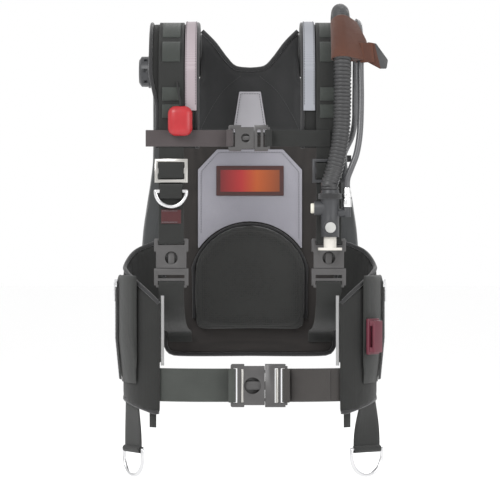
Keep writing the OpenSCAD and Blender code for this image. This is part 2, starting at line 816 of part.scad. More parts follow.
// Hip straps are sewn inside the wings and hang below them.
hip_x = 178;
hip_y = -238;
hip_ring_z = -401;

// Places its children with X along the hip strap's width, on the side s.
module at_hip(s) {
    side(s) translate([hip_x, hip_y, 0]) rotate([0, 0, s > 0 ? 35 : 58]) children();
}

module hip_strap(s) {
    color(webbing_black) difference() {
        union() {
            at_hip(s) {
                block([-belt_w / 2, belt_w / 2], [-web_t / 2, web_t / 2], [hip_ring_z, -338]);
                block([-belt_w / 2, belt_w / 2], [-6, 6], [hip_ring_z - 6, hip_ring_z + 6]);
            }
            side(s) translate([wing_cx, wing_cy, 0]) wall(belt_r, wing_r, -38, -6, -348, -292);
        }
        at_hip(s) translate([0, 0, hip_ring_z]) rotate([0, 90, 0])
            cylinder(d = ring_wire + 0.2, h = 100, center = true);
    }
}

module hip_ring(s) {
    color(steel) at_hip(s) translate([0, 0, hip_ring_z]) d_ring(belt_w + 2, 11);
}

tank_cradle();
grip_pads();
tank_band();
cam_frame();
cam_lever();
cradle_screws();
air_cell();
back_panel();
yoke_collar();
lumbar_pad();
badge_panel();
badge_label();
neck_tab();
grab_handle();
side(1) tapered_pad();  // shoulder_pad_left
side(-1) tapered_pad();  // shoulder_pad_right
shoulder_inlays();
side(1) shoulder_webbing(false);  // shoulder_webbing_left
side(-1) shoulder_webbing(true);  // shoulder_webbing_right
strap_sliders();
shoulder_sockets();
side(1) shoulder_plug();  // shoulder_plug_left
side(-1) shoulder_plug();  // shoulder_plug_right
side(1) lower_strap();  // lower_strap_left
side(-1) lower_strap();  // lower_strap_right
chest_ring();
sternum_strap_left();
sternum_strap_right();
sternum_socket();
sternum_plug();
dump_valves();
dump_cord();
dump_knob();
rear_dump_knob();
hose_port();
corrugated_hose();
elbow_cover();
hose_tab();
inflator_body();
hose_keepers();
inflate_button();
deflate_button();
mouthpiece();
lp_hose();
lp_fittings();
side(1) wing();  // wing_left
side(-1) wing();  // wing_right
side(1) pocket();  // pocket_left
side(-1) pocket();  // pocket_right
side(1) zip_pull();  // zip_pull_left
side(-1) zip_pull();  // zip_pull_right
waist_strap_left();
waist_strap_right();
waist_socket();
waist_plug();
hip_strap(1);  // hip_strap_left
hip_strap(-1);  // hip_strap_right
hip_ring(1);  // hip_ring_left
hip_ring(-1);  // hip_ring_right
ripcord_handle();
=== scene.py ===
import json
import math

import bpy
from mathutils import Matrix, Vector


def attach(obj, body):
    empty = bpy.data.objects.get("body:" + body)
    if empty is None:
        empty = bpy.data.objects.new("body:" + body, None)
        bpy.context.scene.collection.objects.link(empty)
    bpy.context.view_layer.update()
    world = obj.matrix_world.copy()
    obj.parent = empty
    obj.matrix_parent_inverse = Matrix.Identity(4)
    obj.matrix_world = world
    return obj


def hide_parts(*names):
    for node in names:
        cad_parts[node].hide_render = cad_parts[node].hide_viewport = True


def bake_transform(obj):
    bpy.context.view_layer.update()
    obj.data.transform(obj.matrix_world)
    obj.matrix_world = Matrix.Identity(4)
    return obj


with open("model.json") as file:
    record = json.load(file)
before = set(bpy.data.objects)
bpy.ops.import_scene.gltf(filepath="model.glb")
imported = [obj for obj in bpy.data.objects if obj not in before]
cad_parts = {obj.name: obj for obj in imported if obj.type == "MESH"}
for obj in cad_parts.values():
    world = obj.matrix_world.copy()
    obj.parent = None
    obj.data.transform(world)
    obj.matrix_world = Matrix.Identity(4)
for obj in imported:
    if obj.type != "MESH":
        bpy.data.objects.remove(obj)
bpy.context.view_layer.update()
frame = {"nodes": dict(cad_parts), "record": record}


# ---- The room ----
# A pale, matt floor well below the vest, which hangs by its tank band.
# Large soft lamps show the dark cloth without hard shadows.
def only(piece):
    """Selects one piece and nothing else."""
    if bpy.context.mode != "OBJECT":
        bpy.ops.object.mode_set(mode="OBJECT")
    bpy.ops.object.select_all(action="DESELECT")
    piece.select_set(True)
    bpy.context.view_layer.objects.active = piece


def plain(name, colour, roughness, metallic=0.0):
    """A new material, its node tree and its shader."""
    finish = bpy.data.materials.new(name)
    finish.use_nodes = True
    shader = finish.node_tree.nodes["Principled BSDF"]
    shader.inputs["Base Color"].default_value = (*colour, 1.0)
    shader.inputs["Roughness"].default_value = roughness
    shader.inputs["Metallic"].default_value = metallic
    return finish, finish.node_tree, shader


bpy.ops.object.select_all(action="DESELECT")
bpy.ops.mesh.primitive_plane_add(size=60, location=(0, 0, -0.62))
floor = bpy.context.object
floor.name = "studio_floor"
floor_paint, _, _ = plain("floor_paint", (0.99, 0.99, 0.99), 0.95)
floor.data.materials.append(floor_paint)

sky = bpy.data.worlds.new("soft_white_room")
bpy.context.scene.world = sky
sky.use_nodes = True
sky.node_tree.nodes["Background"].inputs["Color"].default_value = (1.0, 1.0, 1.0, 1.0)
sky.node_tree.nodes["Background"].inputs["Strength"].default_value = 1.0

for name, place, size, power in (
    ("key_lamp", (-1.5, -2.6, 1.7), 1.3, 52),
    ("fill_lamp", (2.1, -2.4, 0.5), 1.6, 26),
    ("rear_lamp", (0.6, 2.6, 1.6), 1.6, 40),
):
    bpy.ops.object.light_add(type="AREA", location=place)
    lamp = bpy.context.object
    lamp.name = name
    lamp.data.size = size
    lamp.data.energy = power
    lamp.rotation_euler = (Vector((0, -0.1, -0.1)) - Vector(place)).to_track_quat("-Z", "Y").to_euler()

bpy.ops.object.camera_add(location=(0, -3.8, -0.0975), rotation=(math.radians(90), 0, 0))
camera = bpy.context.object
camera.name = "front_camera"
camera.data.angle = 2 * math.atan(0.375 / 3.5)
camera.data.clip_end = 50
bpy.context.scene.camera = camera
bpy.context.scene.view_settings.view_transform = "Standard"


# ---- Cradle, cam buckle and screws ----
# The moulded cradle that the cylinder lies against, its rubber pads, the cam buckle's frame
# and lever, and the four stainless screws.
def moulded(name, colour, roughness=0.42, grain=900.0, relief=0.12):
    """Injection-moulded plastic with a fine spark-eroded grain and slight scuffing."""
    finish, tree, shader = plain(name, colour, roughness)
    place = tree.nodes.new("ShaderNodeTexCoord")
    pits = tree.nodes.new("ShaderNodeTexNoise")
    pits.inputs["Scale"].default_value = grain
    pits.inputs["Detail"].default_value = 2
    scuffs = tree.nodes.new("ShaderNodeTexNoise")
    scuffs.inputs["Scale"].default_value = 38
    scuffs.inputs["Detail"].default_value = 5
    bump = tree.nodes.new("ShaderNodeBump")
    bump.inputs["Strength"].default_value = relief
    bump.inputs["Distance"].default_value = 0.0004
    worn = tree.nodes.new("ShaderNodeMapRange")
    worn.inputs["To Min"].default_value = roughness - 0.1
    worn.inputs["To Max"].default_value = roughness + 0.16
    shade = tree.nodes.new("ShaderNodeMix")
    shade.data_type = "RGBA"
    shade.inputs["A"].default_value = (*[c * 0.8 for c in colour], 1)
    shade.inputs["B"].default_value = (*[min(1, c * 1.35 + 0.004) for c in colour], 1)
    link = tree.links.new
    link(place.outputs["Object"], pits.inputs["Vector"])
    link(place.outputs["Object"], scuffs.inputs["Vector"])
    link(pits.outputs["Fac"], bump.inputs["Height"])
    link(scuffs.outputs["Fac"], worn.inputs["Value"])
    link(scuffs.outputs["Fac"], shade.inputs["Factor"])
    link(shade.outputs["Result"], shader.inputs["Base Color"])
    link(worn.outputs["Result"], shader.inputs["Roughness"])
    link(bump.outputs["Normal"], shader.inputs["Normal"])
    return finish


def brushed(name, colour=(0.62, 0.62, 0.63), roughness=0.24, along=(1, 1, 14)):
    """Stainless steel with fine drawn lines."""
    finish, tree, shader = plain(name, colour, roughness, 1.0)
    place = tree.nodes.new("ShaderNodeTexCoord")
    turn = tree.nodes.new("ShaderNodeMapping")
    turn.inputs["Scale"].default_value = along
    lines = tree.nodes.new("ShaderNodeTexNoise")
    lines.inputs["Scale"].default_value = 420
    lines.inputs["Detail"].default_value = 3
    dull = tree.nodes.new("ShaderNodeMapRange")
    dull.inputs["To Min"].default_value = roughness - 0.1
    dull.inputs["To Max"].default_value = roughness + 0.14
    bump = tree.nodes.new("ShaderNodeBump")
    bump.inputs["Strength"].default_value = 0.1
    bump.inputs["Distance"].default_value = 0.0002
    link = tree.links.new
    link(place.outputs["Object"], turn.inputs["Vector"])
    link(turn.outputs["Vector"], lines.inputs["Vector"])
    link(lines.outputs["Fac"], dull.inputs["Value"])
    link(dull.outputs["Result"], shader.inputs["Roughness"])
    link(lines.outputs["Fac"], bump.inputs["Height"])
    link(bump.outputs["Normal"], shader.inputs["Normal"])
    return finish


def rounded_part(node, finish, edge=0.0006, angle=35):
    """A CAD part with its moulded or machined edges softened."""
    only(nodes[node])
    bpy.ops.object.duplicate()
    part = bpy.context.object
    part.name = node + "_finished"
    part.data = part.data.copy()
    bpy.ops.object.mode_set(mode="EDIT")
    bpy.ops.mesh.select_all(action="SELECT")
    bpy.ops.mesh.remove_doubles(threshold=1e-6)
    bpy.ops.mesh.dissolve_limited(angle_limit=math.radians(1.5))
    bpy.ops.object.mode_set(mode="OBJECT")
    bevel = part.modifiers.new("softened_edges", "BEVEL")
    bevel.width = edge
    bevel.segments = 2
    bevel.limit_method = "ANGLE"
    bevel.angle_limit = math.radians(angle)
    bevel.use_clamp_overlap = True
    bpy.ops.object.modifier_apply(modifier=bevel.name)
    bpy.ops.object.shade_smooth_by_angle(angle=math.radians(40))
    part.data.materials.clear()
    part.data.materials.append(finish)
    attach(part, body_holding[node])
    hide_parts(node)
    return part


nodes = frame["nodes"]
body_holding = {
    node: body
    for body, held in frame["record"]["behaviour"]["bodies"].items()
    for node in held
}
black_nylon = moulded("black_nylon", (0.026, 0.027, 0.03))
grip_rubber = moulded("grip_rubber", (0.03, 0.03, 0.03), 0.7, 500, 0.3)
drawn_steel = brushed("drawn_steel")
rounded_part("tank_cradle", black_nylon, 0.0016)
rounded_part("grip_pads", grip_rubber, 0.0006)
rounded_part("cam_frame", black_nylon, 0.0008)
rounded_part("cam_lever", black_nylon, 0.0008)
rounded_part("cradle_screws", drawn_steel, 0.0003)


# ---- Tank band ----
# Polyester webbing drawn tight round the cylinder, with a woven rib and a firm edge.
def route_length(route):
    """Distance along a route at each of its points."""
    return [sum((b - a).length for a, b in zip(route[:i], route[1 : i + 1])) for i in range(len(route))]


def webbing(name, colour, fleck=None, pitch=0.0017, sheen=0.25):
    """Webbing woven in a herringbone, read from the strap's own map in metres."""
    fleck = fleck or tuple(c * 1.9 + 0.006 for c in colour)
    finish, tree, shader = plain(name, colour, 0.82)
    new, link = tree.nodes.new, tree.links.new
    uv = new("ShaderNodeUVMap")
    split = new("ShaderNodeSeparateXYZ")
    link(uv.outputs["UV"], split.inputs["Vector"])
    fold = new("ShaderNodeMath")
    fold.operation = "PINGPONG"
    fold.inputs[1].default_value = 0.0032
    link(split.outputs["Y"], fold.inputs[0])
    skew = new("ShaderNodeMath")
    skew.operation = "ADD"
    link(split.outputs["X"], skew.inputs[0])
    link(fold.outputs["Value"], skew.inputs[1])
    ribs = new("ShaderNodeMath")
    ribs.operation = "MULTIPLY"
    ribs.inputs[1].default_value = 2 * math.pi / pitch
    link(skew.outputs["Value"], ribs.inputs[0])
    wave = new("ShaderNodeMath")
    wave.operation = "SINE"
    link(ribs.outputs["Value"], wave.inputs[0])
    threads = new("ShaderNodeMath")
    threads.operation = "MULTIPLY"
    threads.inputs[1].default_value = 2 * math.pi / 0.0011
    link(split.outputs["Y"], threads.inputs[0])
    cross = new("ShaderNodeMath")
    cross.operation = "SINE"
    link(threads.outputs["Value"], cross.inputs[0])
    weave = new("ShaderNodeMath")
    weave.operation = "MULTIPLY_ADD"
    weave.inputs[1].default_value = 0.4
    link(cross.outputs["Value"], weave.inputs[0])
    link(wave.outputs["Value"], weave.inputs[2])
    place = new("ShaderNodeTexCoord")
    fade = new("ShaderNodeTexNoise")
    fade.inputs["Scale"].default_value = 26
    fade.inputs["Detail"].default_value = 6
    link(place.outputs["Object"], fade.inputs["Vector"])
    lift = new("ShaderNodeMapRange")
    lift.inputs["From Min"].default_value = -1.2
    lift.inputs["From Max"].default_value = 1.2
    lift.inputs["To Min"].default_value = 0.0
    lift.inputs["To Max"].default_value = 0.75
    link(weave.outputs["Value"], lift.inputs["Value"])
    blend = new("ShaderNodeMath")
    blend.operation = "MULTIPLY"
    link(lift.outputs["Result"], blend.inputs[0])
    link(fade.outputs["Fac"], blend.inputs[1])
    shade = new("ShaderNodeMix")
    shade.data_type = "RGBA"
    shade.inputs["A"].default_value = (*[c * 0.75 for c in colour], 1)
    shade.inputs["B"].default_value = (*fleck, 1)
    link(blend.outputs["Value"], shade.inputs["Factor"])
    link(shade.outputs["Result"], shader.inputs["Base Color"])
    bump = new("ShaderNodeBump")
    bump.inputs["Strength"].default_value = 0.45
    bump.inputs["Distance"].default_value = 0.0006
    link(weave.outputs["Value"], bump.inputs["Height"])
    link(bump.outputs["Normal"], shader.inputs["Normal"])
    shader.inputs["Sheen Weight"].default_value = sheen
    shader.inputs["Sheen Roughness"].default_value = 0.5
    return finish


def lay_strap(name, route, across, width, thick, finish, body, steps_across=4):
    """A flat strap along a route. across gives its width's direction, one for all or one for each point."""
    route = [Vector(p) for p in route]
    across = across if isinstance(across, list) else [Vector(across)] * len(route)
    along = route_length(route)
    last = len(route) - 1
    bpy.ops.object.select_all(action="DESELECT")
    bpy.ops.mesh.primitive_grid_add(x_subdivisions=last, y_subdivisions=steps_across, size=1)
    strap = bpy.context.object
    strap.name = name
    spot = {}
    for v in strap.data.vertices:
        i = round((v.co.x + 0.5) * last)
        share = v.co.y
        spot[v.index] = (along[i], share * width)
        v.co = route[i] + across[i].normalized() * width * share
    chart = strap.data.uv_layers.active.data
    for loop in strap.data.loops:
        chart[loop.index].uv = spot[loop.vertex_index]
    thicken = strap.modifiers.new("thickness", "SOLIDIFY")
    thicken.thickness = thick
    thicken.offset = 0
    bpy.ops.object.modifier_apply(modifier=thicken.name)
    soften = strap.modifiers.new("selvedge", "BEVEL")
    soften.width = thick * 0.3
    soften.segments = 2
    soften.limit_method = "ANGLE"
    soften.angle_limit = math.radians(50)
    bpy.ops.object.modifier_apply(modifier=soften.name)
    bpy.ops.object.shade_smooth_by_angle(angle=math.radians(50))
    strap.data.materials.append(finish)
    if body:
        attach(strap, body)
    return strap


def round_bend(centre, radius, first, last, steps, fixed=0.0, plane="YZ"):
    """Points of an arc in the plan (XY) or side (YZ) plane; fixed is the third coordinate."""
    points = []
    for k in range(steps + 1):
        a = math.radians(first + (last - first) * k / steps)
        u, v = centre[0] + radius * math.cos(a), centre[1] + radius * math.sin(a)
        points.append(Vector((fixed, u, v)) if plane == "YZ" else Vector((u, v, fixed)))
    return points


harness_black = webbing("harness_black", (0.009, 0.0096, 0.0087), (0.024, 0.026, 0.0235), sheen=0.12)
band = lay_strap(
    "tank_band_webbing", round_bend((0, 0), 0.09325, 60, 420, 72, 0.0, "XY"),
    (0, 0, 1), 0.05, 0.0025, harness_black, "harness", 6,
)
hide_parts("tank_band")


# ---- Air cell ----
# The horseshoe of coated nylon behind the back, welded round its edge and slack between.
# Cloth under pressure gives the swell; its seam lines are held back.
def woven_cloth(name, colour, thread=0.0009, relief=0.35, roughness=0.88, tint=None, sheen=0.3):
    """Coarse nylon cloth: two crossed threads, uneven dye and a little wear."""
    tint = tint or tuple(c * 1.7 + 0.004 for c in colour)
    finish, tree, shader = plain(name, colour, roughness)
    new, link = tree.nodes.new, tree.links.new
    place = new("ShaderNodeTexCoord")
    heights = []
    for axis in "XYZ":
        bands = new("ShaderNodeTexWave")
        bands.bands_direction = axis
        bands.inputs["Scale"].default_value = 0.314 / thread
        bands.inputs["Distortion"].default_value = 0.6
        bands.inputs["Detail"].default_value = 1
        bands.inputs["Detail Scale"].default_value = 3
        link(place.outputs["Object"], bands.inputs["Vector"])
        heights.append(bands.outputs["Fac"])
    one = new("ShaderNodeMath")
    one.operation = "MULTIPLY"
    link(heights[0], one.inputs[0])
    link(heights[2], one.inputs[1])
    two = new("ShaderNodeMath")
    two.operation = "MULTIPLY_ADD"
    two.inputs[1].default_value = 0.35
    link(heights[1], two.inputs[0])
    link(one.outputs["Value"], two.inputs[2])
    dye = new("ShaderNodeTexNoise")
    dye.inputs["Scale"].default_value = 17
    dye.inputs["Detail"].default_value = 7
    link(place.outputs["Object"], dye.inputs["Vector"])
    amount = new("ShaderNodeMath")
    amount.operation = "MULTIPLY"
    link(two.outputs["Value"], amount.inputs[0])
    link(dye.outputs["Fac"], amount.inputs[1])
    shade = new("ShaderNodeMix")
    shade.data_type = "RGBA"
    shade.inputs["A"].default_value = (*[c * 0.8 for c in colour], 1)
    shade.inputs["B"].default_value = (*tint, 1)
    link(amount.outputs["Value"], shade.inputs["Factor"])
    link(shade.outputs["Result"], shader.inputs["Base Color"])
    bump = new("ShaderNodeBump")
    bump.inputs["Strength"].default_value = relief
    bump.inputs["Distance"].default_value = 0.0005
    link(two.outputs["Value"], bump.inputs["Height"])
    creases = new("ShaderNodeTexNoise")
    creases.inputs["Scale"].default_value = 55
    creases.inputs["Detail"].default_value = 3
    creases.inputs["Distortion"].default_value = 0.6
    link(place.outputs["Object"], creases.inputs["Vector"])
    soft = new("ShaderNodeBump")
    soft.inputs["Strength"].default_value = 0.3
    soft.inputs["Distance"].default_value = 0.002
    link(creases.outputs["Fac"], soft.inputs["Height"])
    link(bump.outputs["Normal"], soft.inputs["Normal"])
    link(soft.outputs["Normal"], shader.inputs["Normal"])
    shader.inputs["Sheen Weight"].default_value = sheen
    shader.inputs["Sheen Roughness"].default_value = 0.45
    return finish


def stuffed(node, finish, voxel, shrink, swell, sewn=None, steps=16, pressure=4.0, evening=3):
    """A padded copy of a CAD solid: shrunk, remeshed, blown up as cloth, held along its sewn lines."""
    only(nodes[node])
    bpy.ops.object.duplicate()
    pad = bpy.context.object
    pad.name = node + "_padded"
    pad.data = pad.data.copy()
    bpy.ops.object.mode_set(mode="EDIT")
    bpy.ops.mesh.select_all(action="SELECT")
    bpy.ops.mesh.remove_doubles(threshold=1e-6)
    bpy.ops.object.mode_set(mode="OBJECT")
    grid = pad.modifiers.new("even_mesh", "REMESH")
    grid.mode = "VOXEL"
    grid.voxel_size = voxel
    bpy.ops.object.modifier_apply(modifier=grid.name)
    tuck = pad.modifiers.new("tuck", "DISPLACE")
    tuck.mid_level = 0
    tuck.strength = -shrink
    bpy.ops.object.modifier_apply(modifier=tuck.name)
    ease = pad.modifiers.new("ease", "SMOOTH")
    ease.factor = 0.5
    ease.iterations = evening
    bpy.ops.object.modifier_apply(modifier=ease.name)
    start = [v.co.copy() for v in pad.data.vertices]
    held = [v.index for v in pad.data.vertices if sewn and sewn(v.co)]
    group = pad.vertex_groups.new(name="sewn")
    if held:
        group.add(held, 1.0, "REPLACE")
    blow = pad.modifiers.new("blow_up", "CLOTH")
    cloth = blow.settings
    cloth.quality = 4
    cloth.mass = 0.3
    cloth.tension_stiffness = 12
    cloth.compression_stiffness = 12
    cloth.shear_stiffness = 6
    cloth.bending_stiffness = 0.4
    cloth.use_pressure = True
    cloth.uniform_pressure_force = pressure
    cloth.effector_weights.gravity = 0
    cloth.vertex_group_mass = "sewn"
    blow.collision_settings.use_collision = False
    blow.point_cache.frame_start = 1
    blow.point_cache.frame_end = steps
    for step in range(1, steps + 1):
        bpy.context.scene.frame_set(step)
    bpy.ops.object.modifier_apply(modifier=blow.name)
    bpy.context.scene.frame_set(1)
    for v in pad.data.vertices:
        move = v.co - start[v.index]
        if move.length > swell:
            v.co = start[v.index] + move * (swell / move.length)
    settle = pad.modifiers.new("settle", "SMOOTH")
    settle.factor = 0.5
    settle.iterations = 2
    bpy.ops.object.modifier_apply(modifier=settle.name)
    finer = pad.modifiers.new("finer", "SUBSURF")
    finer.levels = finer.render_levels = 1
    bpy.ops.object.modifier_apply(modifier=finer.name)
    bpy.ops.object.shade_smooth()
    pad.data.materials.clear()
    pad.data.materials.append(finish)
    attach(pad, body_holding[node])
    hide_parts(node)
    return pad


def near_line(value, lines, width):
    return any(abs(value - line) < width for line in lines)


cell_nylon = woven_cloth("cell_nylon", (0.022, 0.024, 0.025), 0.0008, 0.25, 0.7)
stuffed(
    "air_cell", cell_nylon, 0.0065, 0.004, 0.006,
    lambda p: near_line(p.y, [-0.088], 0.0035) or (abs(p.x) < 0.1 and p.z > 0.05),
    14, 5,
)



# ---- Back panel and yoke collar ----
# Foam panels in black nylon, sewn through and bound round the edge with round piping.
def smooth_route(points, step=0.006):
    """Points a given step apart on the smooth curve through a listed route."""
    p = [Vector(q) for q in points]
    fine = []
    for i in range(len(p) - 1):
        a, b, c, d = p[max(i - 1, 0)], p[i], p[i + 1], p[min(i + 2, len(p) - 1)]
        for k in range(12):
            t = k / 12
            fine.append(0.5 * (2 * b + (c - a) * t + (2 * a - 5 * b + 4 * c - d) * t**2
                               + (3 * b - a - 3 * c + d) * t**3))
    fine.append(p[-1])
    along = route_length(fine)
    count = max(2, round(along[-1] / step))
    even, k = [], 0
    for n in range(count + 1):
        want = along[-1] * n / count
        while k < len(fine) - 2 and along[k + 1] < want:
            k += 1
        span = along[k + 1] - along[k]
        even.append(fine[k].lerp(fine[k + 1], 0 if span == 0 else min(1, (want - along[k]) / span)))
    return even


def tube(name, route, radius, finish, body, sides=12):
    """A round cord or hose. radius is a number, or gives the radius at a distance along the route."""
    along = route_length(route)
    last = len(route) - 1
    bpy.ops.object.select_all(action="DESELECT")
    bpy.ops.mesh.primitive_grid_add(x_subdivisions=last, y_subdivisions=sides, size=1)
    skin = bpy.context.object
    skin.name = name
    frames = []
    side = Vector((1, 0.013, 0.007))
    for i in range(last + 1):
        ahead = (route[min(i + 1, last)] - route[max(i - 1, 0)]).normalized()
        side = (side - ahead * side.dot(ahead)).normalized()
        frames.append((side.copy(), ahead.cross(side)))
    chart = {}
    for v in skin.data.vertices:
        i = round((v.co.x + 0.5) * last)
        turn = 2 * math.pi * (v.co.y + 0.5)
        r = radius(along[i]) if callable(radius) else radius
        chart[v.index] = (along[i], v.co.y * r * 6.28)
        v.co = route[i] + r * (math.cos(turn) * frames[i][0] + math.sin(turn) * frames[i][1])
    uv = skin.data.uv_layers.active.data
    for loop in skin.data.loops:
        uv[loop.index].uv = chart[loop.vertex_index]
    only(skin)
    bpy.ops.object.mode_set(mode="EDIT")
    bpy.ops.mesh.select_all(action="SELECT")
    bpy.ops.mesh.remove_doubles(threshold=2e-6)
    bpy.ops.mesh.fill_holes(sides=0)
    bpy.ops.mesh.select_all(action="SELECT")
    bpy.ops.mesh.normals_make_consistent(inside=False)
    bpy.ops.object.mode_set(mode="OBJECT")
    bpy.ops.object.shade_smooth_by_angle(angle=math.radians(60))
    skin.data.materials.append(finish)
    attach(skin, body)
    return skin


def sewn_line(name, route, body, finish, stitch=0.0026, gap=0.0014, thread=0.00045):
    """A row of stitches along a route: one stitch, repeated along the seam."""
    route = [Vector(q) for q in route]
    bpy.ops.object.select_all(action="DESELECT")
    bpy.ops.mesh.primitive_cylinder_add(vertices=6, radius=thread, depth=stitch,
                                        rotation=(0, math.radians(90), 0))
    row = bpy.context.object
    row.name = name
    bpy.ops.object.transform_apply(location=True, rotation=True, scale=True)
    seam = bpy.data.curves.new(name + "_seam", "CURVE")
    seam.dimensions = "3D"
    line = seam.splines.new("POLY")
    line.points.add(len(route) - 1)
    for point, place in zip(line.points, route):
        point.co = (*place, 1)
    guide = bpy.data.objects.new(name + "_seam", seam)
    bpy.context.collection.objects.link(guide)
    repeat = row.modifiers.new("repeat", "ARRAY")
    repeat.fit_type = "FIXED_COUNT"
    repeat.count = max(2, int(route_length(route)[-1] / (stitch + gap)))
    repeat.use_relative_offset = False
    repeat.use_constant_offset = True
    repeat.constant_offset_displace = (stitch + gap, 0, 0)
    follow = row.modifiers.new("follow", "CURVE")
    follow.object = guide
    only(row)
    bpy.ops.object.modifier_apply(modifier=repeat.name)
    bpy.ops.object.modifier_apply(modifier=follow.name)
    bpy.data.objects.remove(guide)
    row.data.materials.append(finish)
    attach(row, body)
    return row


def mirrored(points):
    """The same points on the vest's other side."""
    return [Vector((-q[0], q[1], q[2])) for q in points]


panel_cloth = woven_cloth("panel_cloth", (0.019, 0.0165, 0.0155), 0.001, 0.4, 0.9, (0.042, 0.035, 0.032))
collar_cloth = woven_cloth("collar_cloth", (0.013, 0.0135, 0.014), 0.001, 0.35, 0.86, (0.034, 0.034, 0.036))
binding = woven_cloth("edge_binding", (0.01, 0.01, 0.011), 0.0007, 0.4, 0.75, (0.03, 0.03, 0.032))
pale_thread, _, _ = plain("pale_thread", (0.16, 0.16, 0.17), 0.7)
dark_thread, _, _ = plain("dark_thread", (0.05, 0.05, 0.052), 0.7)

stuffed(
    "back_panel", panel_cloth, 0.005, 0.0008, 0.003,
    lambda p: near_line(p.z, [-0.235, -0.1, 0.0], 0.004) or near_line(abs(p.x), [0.1], 0.003),
)
panel_edge = [(0, -0.1195, -0.2615), (0.113, -0.1195, -0.2615), (0.1265, -0.1195, -0.2545),
              (0.1335, -0.1195, -0.241), (0.1345, -0.1195, -0.12), (0.116, -0.1195, 0.0),
              (0.110, -0.1195, 0.084)]
right_edge = smooth_route(panel_edge, 0.008)
tube("panel_piping", list(reversed(mirrored(right_edge)))[:-1] + right_edge, 0.0032,
             binding, "harness", 8)

stuffed(
    "yoke_collar", collar_cloth, 0.005, -0.001, 0.0035,
    lambda p: near_line(abs(p.x), [0.03, 0.066], 0.003) or p.z < 0.09,
)
neckline = smooth_route([(0, -0.1215, 0.1868), (0.0235, -0.1215, 0.190), (0.0385, -0.1215, 0.2045),
                         (0.0565, -0.1215, 0.2285), (0.0755, -0.1215, 0.2475)], 0.006)
tube("neck_piping", list(reversed(mirrored(neckline)))[:-1] + neckline, 0.0036,
             binding, "harness", 8)
for side in (-1, 1):
    seam = smooth_route([(side * 0.016, -0.1235, 0.176), (side * 0.045, -0.1235, 0.150),
                         (side * 0.072, -0.1235, 0.105), (side * 0.078, -0.1235, 0.088)], 0.004)
    sewn_line(f"collar_seam_{'left' if side > 0 else 'right'}", seam, "harness", dark_thread)


# ---- Lumbar pad, badge panel, label and neck tab ----
# A dome of spacer mesh over foam; above it a grey felt panel with a moulded rubber label,
# and a grey tab sewn to the collar.
def spacer_mesh(name, colour, cell=0.0034):
    """Three-dimensional mesh cloth: a close grid of small holes, each darkened with painted shade inside it.
    """
    finish, tree, shader = plain(name, colour, 0.9)
    new, link = tree.nodes.new, tree.links.new
    place = new("ShaderNodeTexCoord")
    holes = new("ShaderNodeTexVoronoi")
    holes.feature = "F1"
    holes.inputs["Scale"].default_value = 1 / cell
    holes.inputs["Randomness"].default_value = 0.25
    link(place.outputs["Object"], holes.inputs["Vector"])
    rim = new("ShaderNodeMapRange")
    rim.inputs["From Min"].default_value = 0.1
    rim.inputs["From Max"].default_value = 0.5
    link(holes.outputs["Distance"], rim.inputs["Value"])
    # Painted shade: the middle of each hole is painted far darker than the threads round it, standing in for
    # the shade inside the holes.
    shade = new("ShaderNodeMix")
    shade.data_type = "RGBA"
    shade.inputs["A"].default_value = (*[c * 0.35 for c in colour], 1)
    shade.inputs["B"].default_value = (*[c * 1.5 for c in colour], 1)
    link(rim.outputs["Result"], shade.inputs["Factor"])
    link(shade.outputs["Result"], shader.inputs["Base Color"])
    bump = new("ShaderNodeBump")
    bump.inputs["Strength"].default_value = 0.6
    bump.inputs["Distance"].default_value = 0.0008
    link(rim.outputs["Result"], bump.inputs["Height"])
    link(bump.outputs["Normal"], shader.inputs["Normal"])
    shader.inputs["Sheen Weight"].default_value = 0.25
    return finish


pad_mesh = spacer_mesh("pad_mesh", (0.0125, 0.0128, 0.012))


def dome_distance(p):
    """How far inside the lumbar pad's outline a point is."""
    low = min(p.z + 0.226, 0.09 - abs(p.x))
    return min(low, 0.096 - math.hypot(p.x, p.z + 0.15)) if p.z > -0.15 else low


stuffed(
    "lumbar_pad", pad_mesh, 0.005, 0.0025, 0.006,
    lambda p: p.y < -0.125 and abs(dome_distance(p) - 0.017) < 0.003, 16, 6,
)
arch = [Vector((0.0925 * math.cos(math.radians(a)), -0.1225, -0.15 + 0.0925 * math.sin(math.radians(a))))
        for a in range(16, 165, 4)]
outline = ([Vector((0.088, -0.1225, -0.205)), Vector((0.088, -0.1225, -0.165))] + arch
           + [Vector((-0.088, -0.1225, -0.165)), Vector((-0.088, -0.1225, -0.205))])
tube("lumbar_piping", outline, 0.003, binding, "harness", 8)

grey_felt = woven_cloth("grey_felt", (0.30, 0.295, 0.335), 0.0011, 0.3, 0.9, (0.40, 0.39, 0.43), 0.15)
rounded_part("badge_panel", grey_felt, 0.0014)
badge_seam = [(0.077, -0.1246, -0.078), (0.077, -0.1246, 0.026), (0.0495, -0.1246, 0.0565)]
corners = [Vector(q) for q in badge_seam]
corners = corners + list(reversed(mirrored(badge_seam)))
walked = []
for a, b in zip(corners, corners[1:]):
    steps = max(2, int((b - a).length / 0.004))
    walked += [a.lerp(b, k / steps) for k in range(steps)]
sewn_line("badge_seam", walked, "harness", pale_thread)

